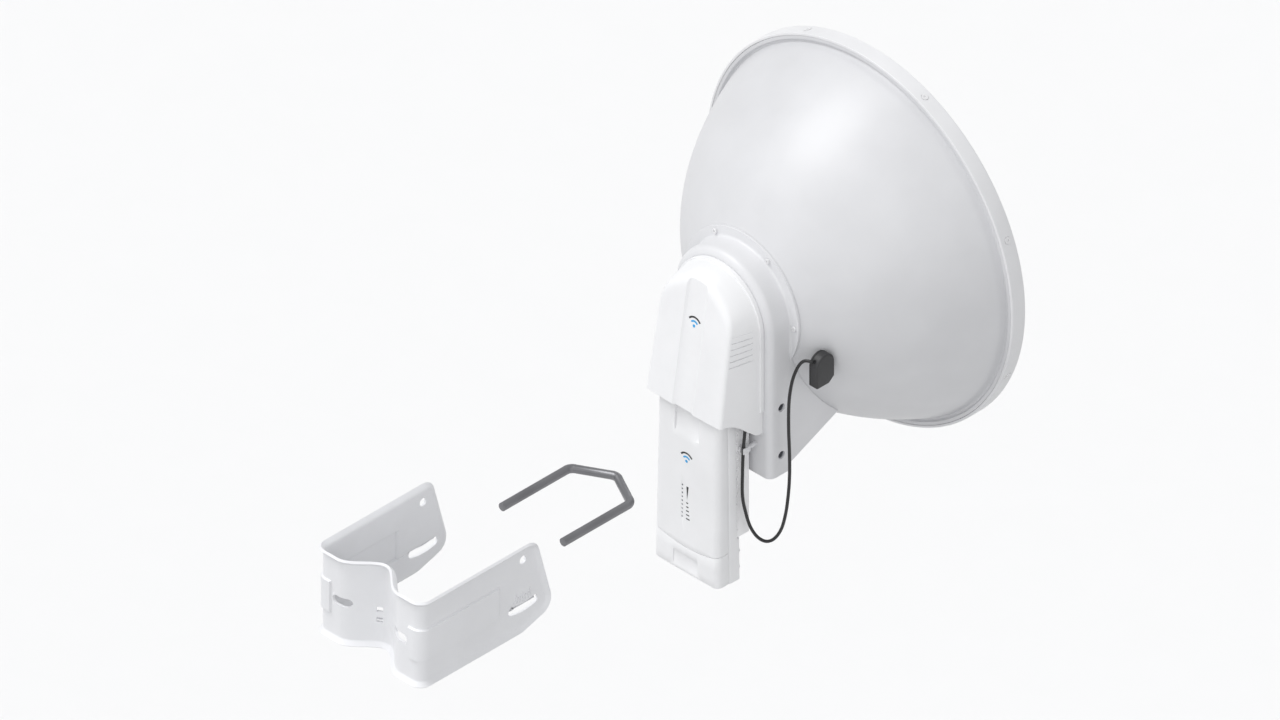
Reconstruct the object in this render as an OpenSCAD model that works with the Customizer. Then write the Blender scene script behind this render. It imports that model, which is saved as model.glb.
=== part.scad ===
// Outdoor wireless bridge: dish antenna with a slide-in radio, a position receiver
// and the stamped bracket and V-bolt that hold it on a pole.
// +Y is the boresight, towards the far station. +X is the right side seen from behind. +Z is up.
// The origin is where the pole touches the middle of the bracket's web, level with the V-bolt.
// The bracket and the V-bolt are drawn off from the antenna along the boresight.

/* [Dish] */
// Outer radius of the dish at its rim
rim_r = 189; // [186:1:192]
// Depth of the round band at the rim
rim_depth = 16.6; // [14:0.2:18]
// Wall of the moulded dish shell
shell_wall = 2.2; // [1.8:0.1:2.6]
// Height of the front cover's dome
dome_h = 9; // [4:1:14]
// Radius of the hub flange behind the dish
hub_r = 70; // [68:1:72]
// Number of screws round the rim
rim_screw_count = 8; // [6:1:12]
// Number of screws round the hub
hub_screw_count = 6; // [6:6:12]

/* [Mount frame] */
// Half of the frame's width, and the radius of its arched top
frame_half_w = 60; // [58:0.5:61]
// Wall of the frame
frame_wall = 3; // [2.5:0.1:3.5]
// Depth below the boresight of the upper side holes, the tilt axis
pivot_drop = 81.5; // [78:0.5:84]
// Distance from the upper side holes to the lower ones
hole_spacing = 50.5; // [48:0.5:52]

/* [Radio] */
// Width of the radio at its foot
radio_w = 79.6; // [76:0.4:80]
// Distance from the boresight down to the radio's foot
radio_foot = 258.5; // [254:0.5:262]
// Wall of the radio's shells
radio_wall = 2; // [1.6:0.1:2.4]
// Number of status lamps
lamp_count = 9; // [5:1:10]

/* [Bracket] */
// Thickness of the bracket's sheet
sheet = 2.5; // [2:0.1:3]
// Height of the bracket
bracket_h = 88; // [84:1:92]
// Depth of the web's valley for the pole
valley = 23; // [20:0.5:24]
// Distance from the pole to the tilt axis
pivot_reach = 103.3; // [102:0.1:105]
// Diameter of the V-bolt's rod
rod_d = 8; // [7:0.1:8]
// Distance between the V-bolt's legs
leg_gap = 75.3; // [74:0.1:76]

/* [Layout] */
// How far the antenna is drawn off from its seat in the bracket
explode = 322; // [300:1:340]
// How far the V-bolt is drawn off from its seat in the bracket
bolt_explode = 272; // [250:1:272]

/* [Cable] */
// Diameter of the receiver's cable
cable_d = 3; // [2.6:0.1:3.2]

/* [Hidden] */
$fn = 96;

// The antenna's own frame has its origin where the boresight meets the rim's front plane.
pivot_y = -172.7;
pivot_z = -pivot_drop;
frame_back = -187;
frame_front = -162;
frame_foot = -153;
pivot_above_mid = 31.3;
dish_y = pivot_reach - pivot_y + explode;
dish_z = pivot_drop + pivot_above_mid;

// Outline of the bell from hub to rim: a quadratic curve in (radius, distance along the boresight).
bell_a = [hub_r - 0.1, -159.2];
bell_b = [146.4, -111.4];
bell_c = [rim_r - 9.4, -rim_depth];
bell_steps = 18;
function bell(t) = bell_a * (1 - t) * (1 - t) + bell_b * 2 * t * (1 - t) + bell_c * t * t;
function bell_slope(t) = (bell_b - bell_a) * (1 - t) + (bell_c - bell_b) * t;
function bell_out(t, d) = let (s = bell_slope(t)) bell(t) + [s[1], -s[0]] * d / norm(s);
function bell_line(d) = [for (i = [0 : bell_steps]) bell_out(i / bell_steps, d)];
function reversed(list) = [for (i = [len(list) - 1 : -1 : 0]) list[i]];

skirt = 2.4;
hub_hole_r = 66;
hub_fillet = 2.5;
fillet_run = 28;

// Rear cover.
cover_r = 52.7;
cover_foot = -82;
cover_wall = 2;
cover_lip = 4.5;
cover_lean = 8.9;

// Radio.
radio_back = -231.5;
radio_split = -217.3;
radio_front = -203;
radio_top = -34;
sink_front = -190.2;
sink_half_w = 37.4;
seam_r = 135;
seam_z = -231 + seam_r;
lamp_x = -4.7;
lamp_top = -167;
lamp_pitch = 4.17;

// Bracket, in the row's own frame.
web_y = -valley;
arm_in = frame_half_w + 0.4;
arm_out = arm_in + sheet;
bend_r = 9;
lobe_x = 38;
flare = [0, 0.6, 1.8, 3.6];
flare_step = 1.3;
slot_len = 20;
slot_x = 35.8;
slot_h = 9;
bracket_mid = 1.4;
panel_half_h = 16.5;
panel_end = 73;
panel_x = 48;
panel_rise = 2;
bracket_top = bracket_mid + bracket_h / 2;
bracket_low = bracket_mid - bracket_h / 2;
arc_half = 15.8;
arc_w = 8.8;
bolt_y = 10 + bolt_explode;
bolt_rise = 20.3;
bolt_leg = 84;
rod_bend_r = 8;

// Receiver.
gps_in = 86;
gps_out = 96;
gps_y0 = -165;
gps_y1 = -143;
gps_z0 = -49;
gps_z1 = -17;

// Route of the receiver's cable in the antenna's frame, from the radio's top to the receiver.
cable_route = [
    [27, -210, -18], [27, -210, -12], [29, -209, -6], [35, -207, -2], [41, -205, -7],
    [43, -203, -16], [43, -201, -40], [43, -200, -70], [43, -201, -100], [42, -202, -120],
    [42, -203, -145], [42, -203, -170], [43.5, -200, -190], [46, -197, -204], [50, -193, -214],
    [56, -189, -218], [62, -185, -215], [68, -182, -204], [72, -180.5, -188], [74.5, -179.5, -168],
    [75.5, -178.5, -145], [75.5, -178.5, -120], [75, -179, -96], [75, -179, -73],
    [75.5, -178, -56], [77, -175.5, -40], [79.5, -171.5, -28], [83, -168.5, -22.5],
    [88, -166.5, -21], [91, -165.2, -21.5]
];
cable_steps = 2;
cable_sides = 8;

// ---- Shared shapes ----

module in_dish() translate([0, dish_y, dish_z]) children();

// A round bar along the boresight, between two distances.
module bar_y(x, z, r, y0, y1) translate([x, y0, z]) rotate([-90, 0, 0]) cylinder(h = y1 - y0, r = r);

// A round bar across, between two sides.
module bar_x(y, z, r, x0, x1) translate([x0, y, z]) rotate([0, 90, 0]) cylinder(h = x1 - x0, r = r);

// A round bar upwards.
module bar_z(x, y, r, z0, z1) translate([x, y, z0]) cylinder(h = z1 - z0, r = r);

// A block between two corners.
module block(a, b) translate(a) cube(b - a);

// A back view outline (across, up) made solid between two distances along the boresight.
module plate_y(y0, y1) translate([0, y1, 0]) rotate([90, 0, 0]) linear_extrude(y1 - y0) children();

// A side view outline (along, up) made solid between two sides.
module plate_x(x0, x1) translate([x0, 0, 0]) rotate([90, 0, 90]) linear_extrude(x1 - x0) children();

// An outline of (radius, distance along) turned about the boresight.
module turned() rotate([-90, 0, 0]) rotate_extrude($fn = 180) children();

module both_sides() for (s = [0, 1]) mirror([s, 0, 0]) children();

// Arched outline: straight sides up to the boresight and a round top.
module arch(r, foot, rise = 0) {
    translate([0, rise]) circle(r);
    translate([-r, foot]) square([2 * r, rise - foot]);
}

module rounded(size, r) {
    translate([r, r]) offset(r = r, $fn = 32) square(size - [2 * r, 2 * r]);
}

// A rod between two points.
module rod(a, b, r) {
    d = b - a;
    translate(a) rotate([0, acos(d[2] / norm(d)), atan2(d[1], d[0])]) cylinder(h = norm(d), r = r);
}

// Everything inside the bell's outer face grown by a gap.
module bell_solid(gap) turned() polygon(concat([[0, bell_a[1]]], bell_line(gap), [[0, bell_c[1]]]));

// ---- Dish ----

module reflector_shell() color("white") in_dish() difference() {
    turned() {
        polygon(concat(bell_line(0), reversed(bell_line(-shell_wall))));
        polygon([
            [hub_hole_r, bell_a[1]], [bell_a[0], bell_a[1]],
            [bell_a[0] + 1, bell_a[1] + 3], [hub_hole_r, bell_a[1] + 3]
        ]);
        polygon([
            [bell_c[0] - 1.8, -rim_depth], [rim_r - skirt - 0.2, -rim_depth], [rim_r - skirt - 0.2, -4],
            [rim_r - skirt - 2.4, -4], [rim_r - skirt - 2.4, -rim_depth + 2.4],
            [bell_c[0] - 1.8, -rim_depth + 2.4]
        ]);
    }
    rim_places() cylinder(h = 30, r = 1.75, center = true);
}

module front_radome() color("whitesmoke") in_dish() difference() {
    turned() polygon([
        [0, dome_h], [rim_r * 0.3, dome_h * 0.9], [rim_r * 0.6, dome_h * 0.62], [rim_r * 0.85, dome_h * 0.24],
        [rim_r - 2, 0], [rim_r, -2], [rim_r, -rim_depth], [rim_r - skirt, -rim_depth],
        [rim_r - skirt, -2.6], [rim_r * 0.85, dome_h * 0.24 - 2.6], [rim_r * 0.6, dome_h * 0.62 - 2.6],
        [rim_r * 0.3, dome_h * 0.9 - 2.6], [0, dome_h - 2.6]
    ]);
    rim_places() {
        cylinder(h = 30, r = 1.9, center = true);
        translate([0, 0, -0.8]) cylinder(h = 6, r = 3.5);
    }
}

module rim_gasket() color("dimgray") in_dish() turned()
    translate([rim_r - skirt - 3.4, -3.8]) square([3, 1]);

// Puts its children round the rim, with +Z pointing outwards from the band's face.
module rim_places() for (i = [0 : rim_screw_count - 1])
    rotate([0, (i + 0.5) * 360 / rim_screw_count, 0]) translate([0, -rim_depth / 2, rim_r]) children();

module rim_screws() color("silver") in_dish() rim_places() difference() {
    union() {
        translate([0, 0, -5]) cylinder(h = 5, r = 1.7, $fn = 32);
        translate([0, 0, -0.7]) cylinder(h = 1.1, r = 3.2, $fn = 48);
    }
    translate([0, 0, -0.4]) cylinder(h = 2, r = 1.3, $fn = 6);
}

// ---- Hub and mount frame ----

// Cross-section of the frame's wall: (half width, distance along).
module frame_section() difference() {
    polygon(concat(
        [[40, frame_back]],
        [for (a = [-90 : 15 : 0]) [frame_half_w - 7 + 7 * cos(a), frame_back + 7 + 7 * sin(a)]],
        [[frame_half_w, frame_front], [40, frame_front]]
    ));
    polygon(concat(
        [[39, frame_back + frame_wall]],
        [for (a = [-90 : 15 : 0])
            [frame_half_w - 7 + 4 * cos(a), frame_back + 7 + 4 * sin(a)]],
        [[frame_half_w - frame_wall, frame_front + 1], [39, frame_front + 1]]
    ));
}

// Fillet between the frame's wall and the hub flange, sunk a little into both.
module flange_fillet() polygon(concat(
    [[frame_half_w - 1, frame_front - hub_fillet]],
    [for (a = [0 : 15 : 90])
        [frame_half_w + hub_fillet * (1 - cos(a)), frame_front - hub_fillet * (1 - sin(a))]],
    [[frame_half_w + hub_fillet, frame_front + 0.5], [frame_half_w - 1, frame_front + 0.5]]
));

// One side wall of the frame with its gusset, seen from the side.
module gusset_outline() polygon([
    [frame_back + 7, 0], [frame_back + 7, frame_foot], [frame_back + 10, frame_foot],
    [-176, -151.5], [-100, -118], [-96, 0]
]);

module hub_frame() color("gainsboro") in_dish() difference() {
    union() {
        // Arched top and the two straight rear corners under it.
        rotate([0, 180, 0]) rotate([-90, 0, 0]) rotate_extrude(angle = 180) frame_section();
        both_sides() translate([0, 0, frame_foot]) linear_extrude(-frame_foot) frame_section();
        rotate([0, 180, 0]) rotate([-90, 0, 0]) rotate_extrude(angle = 180) flange_fillet();
        both_sides() translate([0, 0, -fillet_run]) linear_extrude(fillet_run) flange_fillet();
        // Rear wall.
        plate_y(frame_back, frame_back + frame_wall) arch(45, frame_foot);
        // Side walls and gussets.
        both_sides() plate_x(frame_half_w - frame_wall, frame_half_w) gusset_outline();
        // Hub flange.
        bar_y(0, 0, hub_r, frame_front, frame_front + 2.6);
        // Bosses behind the side holes.
        both_sides() for (z = [pivot_z, pivot_z - hole_spacing])
            bar_x(pivot_y, z, 8, frame_half_w - 14, frame_half_w - 0.5);
        // Rails for the radio.
        both_sides() block([22, -189.9, -112], [28, frame_back + 1, -42]);
    }
    // Opening behind the feed.
    plate_y(frame_back - 5, frame_front + 0.01 - 3) square([52, 50], center = true);
    bar_y(0, 0, 16.4, frame_front - 1, frame_front + 4);
    // Notch between the frame's legs.
    plate_y(frame_back - 1, frame_back + 12) {
        translate([-34, frame_foot - 5]) square([68, 32]);
        translate([-28, frame_foot - 5]) square([56, 38]);
        both_sides() translate([28, -120 - 6]) circle(6);
    }
    // Bores for the threaded sleeves.
    both_sides() for (z = [pivot_z, pivot_z - hole_spacing])
        bar_x(pivot_y, z, 4.05, frame_half_w - 20, frame_half_w + 5);
    hub_places() cylinder(h = 12, r = 1.7, center = true, $fn = 32);
    bell_solid(0.25);
}

module hub_places() for (i = [0 : hub_screw_count - 1])
    rotate([0, i * 360 / hub_screw_count, 0]) translate([65, frame_front, 0]) rotate([90, 0, 0]) children();

module hub_gasket() color("dimgray") in_dish() difference() {
    turned() translate([56, -159.1]) square([9, 0.9]);
    hub_places() cylinder(h = 12, r = 1.7, center = true);
}

module hub_screws() color("silver") in_dish() hub_places() difference() {
    union() {
        translate([0, 0, -2.5]) cylinder(h = 3.5, r = 1.5, $fn = 32);
        translate([0, 0, 0.1]) cylinder(h = 1.6, r = 2.4, $fn = 48);
    }
    translate([0, 0, 0.7]) cylinder(h = 2, r = 1.2, $fn = 6);
}

// Threaded sleeve in one side hole, from the right side.
module insert(z) difference() {
    bar_x(pivot_y, z, 4, frame_half_w - 13, frame_half_w - 1.4);
    bar_x(pivot_y, z, 3.3, frame_half_w - 20, frame_half_w);
}

module pivot_inserts() color("darkgray") in_dish() both_sides() insert(pivot_z);

module tilt_inserts() color("darkgray") in_dish() both_sides() insert(pivot_z - hole_spacing);

// ---- Feed ----

module feed_coupler() color("silver") in_dish() difference() {
    union() {
        block([-21, -183.5, -21], [21, frame_front - 0.4, 21]);
        both_sides() bar_y(14, 0, 4, -188, -183);
    }
    both_sides() bar_y(14, 0, 1.6, -190, -180);
    bar_y(0, 0, 13.5, -178, -160);
}

module feed_tube() color("silver") in_dish() turned() {
    translate([13.6, frame_front - 0.3]) square([2.4, 44]);
    translate([15, frame_front + 2.8]) square([9, 3]);
}

module feed_horn() color("silver") in_dish() turned() polygon([
    [16.1, -119], [24, -112], [24, -104], [22.2, -104], [22.2, -111.3], [16.1, -116.8]
]);

module sub_reflector() color("whitesmoke") in_dish() turned() polygon([
    [0, -92], [10, -95], [20, -101], [24, -103.7], [24, -97], [20, -90], [0, -88]
]);

// Two short radio-frequency leads from the radio's top to the feed.
module rf_pigtails() color("saddlebrown") in_dish() both_sides() translate([14, 0, 0]) {
    bar_z(0, -208, 1.7, -19.5, -9.7);
    bar_z(0, -208, 3.6, -24.8, -19);
    translate([0, -198, -10]) rotate([0, 90, 0]) rotate([0, 0, 180])
        rotate_extrude(angle = 90) translate([10, 0]) circle(1.8, $fn = 32);
    bar_y(0, 0, 1.7, -198.3, -194);
    difference() {
        bar_y(0, 0, 4.8, -195, -184);
        bar_y(0, 0, 4.1, -190, -183);
    }
}

// ---- Rear cover ----

// Cover's outer body as three arched slices; shrink moves every face inwards.
module cover_body(shrink) hull() {
    plate_y(frame_back - 2, frame_back) arch(cover_r - 1.5 - shrink, cover_foot - 24);
    plate_y(-207, -205) arch(cover_r - 2.6 - shrink, cover_foot - 24);
    translate([0, -229.8 + shrink, -60]) rotate([-cover_lean, 0, 0])
        plate_y(0, 3) arch(48.4 - shrink, -60, 61);
    translate([0, -232.8 + shrink, -60]) rotate([-cover_lean, 0, 0]) plate_y(0, 3) arch(45 - shrink, -60, 63);
}

module rear_cover() color("white") in_dish() difference() {
    union() {
        cover_body(0);
        plate_y(frame_back - cover_lip, frame_back - 0.3) arch(cover_r, cover_foot);
    }
    translate([0, 0.5, 0]) cover_body(cover_wall);
    plate_y(frame_back - 0.3, frame_back + 5) square(300, center = true);
    plate_y(frame_back - cover_lip - 1, frame_back) arch(cover_r - 3.6, -200);
    // Slanted foot, lower at the frame than at the back.
    plate_x(-80, 80) polygon([
        [-260, cover_foot], [-231, cover_foot], [-218, cover_foot - 4], [-196, cover_foot - 22],
        [-180, cover_foot - 24], [-180, -300], [-260, -300]
    ]);
    // Ventilation grooves on both sides.
    both_sides() for (i = [0 : 5]) block([49.4, -222, 4.5 - i * 6], [54, -201, 5.5 - i * 6]);
    // Shallow strip down the back.
    translate([0, -232.8, -60]) rotate([-cover_lean, 0, 0]) block([-12.8, -3, -40], [12.8, 0.7, 104]);
}

// ---- Radio ----

// Outline of the radio across, as seen from above, with a half width at the given place.
module radio_slab(half_w, back, front, r) translate([-half_w, back])
    rounded([2 * half_w, front - back], r);

// Rear part of the radio, leaning in towards its top.
module radio_body(shrink) hull() {
    translate([0, 0, -radio_foot + shrink]) linear_extrude(1)
        radio_slab(radio_w / 2 - shrink, radio_back + shrink, radio_split + 6, 6 - shrink);
    translate([0, 0, -92]) linear_extrude(1)
        radio_slab(radio_w / 2 - 2 - shrink, radio_back + 2.4 + shrink, radio_split + 6, 6 - shrink);
    translate([0, 0, radio_top - 1 - shrink]) linear_extrude(1)
        radio_slab(radio_w / 2 - 3 - shrink, radio_back + 11 + shrink, radio_split + 6, 6 - shrink);
}

// Everything above the seam of the port cap.
module above_seam(gap) {
    bar_y(0, seam_z, seam_r - gap, -240, -200);
    block([-60, -240, seam_z], [60, -200, 0]);
}

module radio_front_shell() color("white") in_dish() difference() {
    radio_body(0);
    radio_body(radio_wall);
    block([-60, radio_split - 0.2, -300], [60, -190, 0]);
    difference() {
        block([-60, -250, -300], [60, -190, -200]);
        above_seam(0.2);
    }
    // Finger recess under the cover and the lamp holes.
    block([-15, -240, -115], [15, radio_back + 3.7, -86]);
    lamp_places() bar_y(0, 0, 1, -240, -220);
}

module lamp_places() for (i = [0 : lamp_count - 1])
    translate([lamp_x, 0, lamp_top - i * lamp_pitch]) children();

module port_cap() color("white") in_dish() difference() {
    radio_body(0);
    radio_body(radio_wall);
    block([-60, radio_split - 0.2, -300], [60, -190, 0]);
    above_seam(-0.2);
    // Thumb recess.
    block([-15, -240, -257], [15, radio_back + 1.4, -240]);
}

module radio_gasket() color("dimgray") in_dish() difference() {
    block([-35.4, radio_split + 0.1, -222], [35.4, radio_split + 1, -40]);
    block([-33.9, radio_split - 1, -220.5], [33.9, radio_split + 3, -41.5]);
}

module radio_back_shell() color("gainsboro") in_dish() difference() {
    hull() {
        translate([0, 0, -radio_foot]) linear_extrude(1)
            radio_slab(radio_w / 2, radio_split, radio_front, 2.5);
        translate([0, 0, radio_top - 1]) linear_extrude(1)
            radio_slab(radio_w / 2 - 3, radio_split, radio_front, 2.5);
    }
    // Channel for the gasket, and the room inside.
    block([-36.2, radio_split - 1, -224], [36.2, radio_split + 1.2, -38]);
    block([-33.4, radio_split - 1, -254], [33.4, radio_front - 2, -40]);
    // Outlet for the network cables.
    block([-23, radio_split - 1, -262], [23, radio_front - 2.6, -253]);
    // Holes for the connectors on the top.
    both_sides() bar_z(14, -208, 3.3, -50, -20);
    bar_z(27, -210, 3.3, -50, -20);
    // Window for the heat sink, and the lower edge it stands on.
    block([-31, radio_front - 9, -212], [31, radio_front + 5, -46]);
    block([-60, radio_front - 4, -215.8], [60, radio_front + 5, 0]);
    case_screw_places() bar_y(0, 0, 1.5, -216, -190);
}

module case_screw_places() for (x = [-34.9, 34.9], z = [-248, -231]) translate([x, 0, z]) children();

module case_screws() color("silver") in_dish() case_screw_places() {
    bar_y(0, 0, 1.3, -214, -202.9);
    bar_y(0, 0, 2.5, -202.9, -201.4);
}

module heat_sink() color("lightgray") in_dish() {
    block([-30.8, -208.6, -211.8], [30.8, -206, -46.2]);
    difference() {
        block([-sink_half_w, -206.8, -215.6], [sink_half_w, -200, -42]);
        // Row of small notches down each edge.
        both_sides() for (i = [0 : 17]) block([sink_half_w - 1.2, -207.5, -208 + i * 9.2],
            [sink_half_w + 1, -204.6, -205 + i * 9.2]);
    }
    for (i = [0 : 10]) translate([-sink_half_w + 1 + i * (2 * sink_half_w - 2) / 10, 0, 0])
        block([-1, -200.1, -215.6], [1, sink_front, -42]);
}

module thermal_pad() color("gray") in_dish() block([-17, -209.1, -156], [17, -208.7, -94]);

module radio_pcb() color("darkgreen") in_dish() difference() {
    block([-32, -212, -252], [32, -210.4, -44]);
    for (x = [-28, 28], z = [-222, -50]) bar_y(x, z, 1.6, -220, -200);
}

module rf_shield() color("silver") in_dish() {
    block([-24, -216.5, -128], [24, -212.2, -56]);
    block([-24, -216.5, -160], [24, -212.2, -132]);
    block([-18, -210.3, -158], [18, -209.2, -92]);
}

// A screw-on connector on the radio's top.
module coax(x, y) difference() {
    union() {
        bar_z(x, y, 3.1, -38, -29);
        bar_z(x, y, 2.4, -41.4, -37);
        bar_z(x, y, 4.2, -33.7, -31.6);
    }
    bar_z(x, y, 1.1, -34, -20);
}

module rf_connectors() color("gold") in_dish() both_sides() coax(14, -208);

module gps_connector() color("gold") in_dish() coax(27, -210);

// A network socket that opens downwards.
module net_port(x) difference() {
    block([x - 8, -228.6, -255.6], [x + 8, -212.2, -235]);
    block([x - 5.9, -226, -262], [x + 5.9, -216.6, -240]);
}

module data_port() color("slategray") in_dish() net_port(-13);

module power_port() color("slategray") in_dish() net_port(13);

module light_pipes() color("lightgreen") in_dish() lamp_places() {
    bar_y(0, 0, 0.8, radio_back + 0.9, -220);
    bar_y(0, 0, 1.3, -221, -218);
}

// ---- Receiver and its cable ----

module gps_plug() color("gold") in_dish() difference() {
    union() {
        bar_z(27, -210, 4, -29, -22);
        bar_z(27, -210, 2.6, -22.1, -18);
    }
    bar_z(27, -210, 3.2, -30, -25);
}

// Points of the smooth route through the cable's chosen points.
function route_point(p, t) = 0.5 * (
    2 * p[1] + (p[2] - p[0]) * t + (2 * p[0] - 5 * p[1] + 4 * p[2] - p[3]) * t * t
    + (3 * p[1] - p[0] - 3 * p[2] + p[3]) * t * t * t
);
function near(list, i) = list[min(max(i, 0), len(list) - 1)];
function smooth(list, steps) = concat(
    [for (i = [0 : len(list) - 2], k = [0 : steps - 1])
        route_point([for (j = [-1 : 2]) near(list, i + j)], k / steps)],
    [list[len(list) - 1]]
);

// A tube swept along a line of points, its side direction carried along without twist.
module tube(line, r, sides) {
    n = len(line);
    ahead = [for (i = [0 : n - 1]) let (d = line[min(i + 1, n - 1)] - line[max(i - 1, 0)]) d / norm(d)];
    side = [for (i = 0, s = [1, 0, 0]; i < n;
        i = i + 1, s = i < n ? let (v = s - ahead[i] * (s * ahead[i])) v / norm(v) : s) s];
    rings = [for (i = [0 : n - 1], k = [0 : sides - 1])
        line[i] + r * (side[i] * cos(k * 360 / sides) + cross(ahead[i], side[i]) * sin(k * 360 / sides))];
    polyhedron(
        points = rings,
        faces = concat(
            [[for (k = [0 : sides - 1]) k]],
            [[for (k = [sides - 1 : -1 : 0]) (n - 1) * sides + k]],
            [for (i = [0 : n - 2], k = [0 : sides - 1])
                [i * sides + k, (i + 1) * sides + k, (i + 1) * sides + (k + 1) % sides,
                    i * sides + (k + 1) % sides]]
        )
    );
}

module gps_cable() color("black") in_dish() tube(smooth(cable_route, cable_steps), cable_d / 2, cable_sides);

// Saddle that keeps the cable off the frame's leg.
module cable_clip() color("white") in_dish() difference() {
    union() {
        block([39, -204.4, -123.8], [45.1, -196, -118.2]);
        bar_y(42, -121, 2.2, -196.2, frame_back - 0.2);
    }
    block([40.2, -206, -126], [43.9, -200.2, -116]);
}

// Side view of the receiver: arched top and one cut lower corner.
module gps_outline(d) offset(delta = -d, chamfer = true) {
    translate([gps_y0 + 11, gps_z1 - 11]) circle(11, $fn = 48);
    polygon([
        [gps_y0, gps_z1 - 11], [gps_y0, gps_z0 + 2], [gps_y0 + 2, gps_z0], [gps_y1 - 7, gps_z0],
        [gps_y1, gps_z0 + 5], [gps_y1, gps_z1 - 11]
    ]);
}

module gps_housing() color("dimgray") in_dish() difference() {
    plate_x(gps_in + 2.4, gps_out) gps_outline(0);
    plate_x(gps_in, gps_out - 1.6) gps_outline(1.8);
    bar_y(91, -21.5, 1.7, -168, -160);
    bell_solid(0.1);
}

module gps_base() color("black") in_dish() difference() {
    plate_x(gps_in, gps_in + 2.3) gps_outline(0);
    bell_solid(0.1);
}

module gps_board() color("tan") in_dish() {
    block([gps_in + 2.5, gps_y0 + 4, gps_z0 + 8], [gps_in + 3.5, gps_y1 - 4, gps_z1 - 8]);
    block([gps_in + 3.5, gps_y0 + 5, gps_z0 + 9], [gps_in + 7.5, gps_y1 - 5, gps_z1 - 9.5]);
}

// Foot that stands the receiver on the bell.
module gps_pad() color("black") in_dish() difference() {
    block([70, -149.5, -43], [gps_in - 0.05, gps_y1 - 0.5, -23]);
    bell_solid(0.05);
}

// ---- Pole bracket and V-bolt, in the row's own frame ----

// Outer face of the web at a distance from the middle, and how steep it is there.
function web_out(x) = abs(x) > lobe_x ? web_y : web_y + valley * (1 + cos(180 * x / lobe_x)) / 2;
function web_steep(x) = abs(x) > lobe_x ? 0 : valley * PI / 2 / lobe_x * sin(180 * x / lobe_x);
web_xs = [for (i = [-20 : 20]) i * (arm_out - bend_r) / 20];

// The bracket's sheet seen from above, moved outwards by a little.
module bracket_section(out) {
    polygon(concat(
        [for (x = web_xs) [x, web_out(x) - out]],
        [for (x = reversed(web_xs)) [x, web_out(x) - out + sheet * sqrt(1 + pow(web_steep(x), 2))]]
    ));
    both_sides() {
        translate([arm_out - bend_r, web_y + bend_r]) difference() {
            circle(bend_r + out);
            circle(bend_r + out - sheet);
            translate([-40.02, -20]) square([40, 40]);
            translate([-20, 0.02]) square(40);
        }
        translate([arm_in + out, web_y + bend_r]) square([sheet, 152]);
    }
}

// Side view of an arm, with the slanted front and the large lower corner.
module arm_outline() hull() {
    translate([-40, bracket_low]) square([10, bracket_h]);
    translate([106, bracket_top - 14]) circle(14);
    translate([120.4, -21.6]) circle(14);
    translate([95, bracket_low + 25]) circle(25);
}

module pole_bracket() color("white") difference() {
    intersection() {
        union() {
            translate([0, 0, bracket_low + 3]) linear_extrude(bracket_h - 6) bracket_section(0);
            translate([0, 0, bracket_mid]) for (s = [0, 1], i = [0 : 3]) mirror([0, 0, s])
                translate([0, 0, bracket_h / 2 - (4 - i) * flare_step]) linear_extrude(flare_step)
                    bracket_section(flare[i]);
            // Panels pressed outwards on the arms and round onto the web.
            both_sides() {
                block([arm_out - 0.5, web_y + bend_r, -panel_half_h],
                    [arm_out + panel_rise, panel_end, panel_half_h]);
                block([panel_x, web_y - panel_rise, -panel_half_h],
                    [arm_out - bend_r, web_y + 0.5, panel_half_h]);
                translate([arm_out - bend_r, web_y + bend_r, -panel_half_h])
                    linear_extrude(2 * panel_half_h) difference() {
                    circle(bend_r + panel_rise);
                    circle(bend_r - 0.5);
                    translate([-40.02, -20]) square([40, 40]);
                    translate([-20, 0.02]) square(40);
                }
            }
        }
        plate_x(-100, 100) arm_outline();
    }
    both_sides() {
        block([arm_in - 1, web_y + bend_r, sheet - panel_half_h],
            [arm_out - 0.5, panel_end - sheet, panel_half_h - sheet]);
        // Tilt axis hole and the curved slot below it.
        bar_x(pivot_reach, pivot_above_mid, 4.2, 50, 80);
        translate([50, pivot_reach, pivot_above_mid]) rotate([0, 90, 0]) {
            rotate([0, 0, -arc_half]) rotate_extrude(angle = 2 * arc_half)
                translate([hole_spacing - arc_w / 2, 0]) square([arc_w, 30]);
            for (a = [-arc_half, arc_half]) rotate([0, 0, a]) translate([hole_spacing, 0, 0])
                cylinder(h = 30, r = arc_w / 2);
        }
        // Slot for a leg of the V-bolt.
        plate_y(-40, 20) for (x = [-1, 1]) {
            translate([slot_x + x * (slot_len - slot_h) / 2, 0]) circle(slot_h / 2);
            translate([slot_x - (slot_len - slot_h) / 2, -slot_h / 2]) square([slot_len - slot_h, slot_h]);
        }
    }
    // Two small square holes in the left side of the valley.
    for (z = [-15.5, -4.5]) block([-10.5, -30, z - 2.5], [-5.5, 30, z + 2.5]);
}

// A bend of the V-bolt's rod round a centre, a little thicker than the rod, as bent rod is.
module rod_bend(x, y, from, sweep) translate([x, y, 0]) rotate([0, 0, from])
    rotate_extrude(angle = sweep) translate([rod_bend_r, 0]) circle(rod_d / 2 + 0.1);

module v_bolt() color("gray") {
    x = leg_gap / 2;
    turn = atan2(x, bolt_rise);
    leg_end = bolt_y - bolt_rise - rod_bend_r * tan(turn / 2);
    tip_y = bolt_y - rod_bend_r / sin(turn);
    way = [cos(turn), sin(turn), 0] * rod_bend_r;
    lap = [sin(turn), -cos(turn), 0] * 0.3;
    both_sides() {
        rod([x, bolt_y - bolt_rise - bolt_leg, 0], [x, leg_end + 0.3, 0], rod_d / 2);
        rod_bend(x - rod_bend_r, leg_end, 0, turn);
        rod([x - rod_bend_r, leg_end, 0] + way + lap, [0, tip_y, 0] + way - lap, rod_d / 2);
    }
    rod_bend(0, tip_y, turn, 180 - 2 * turn);
}

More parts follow.
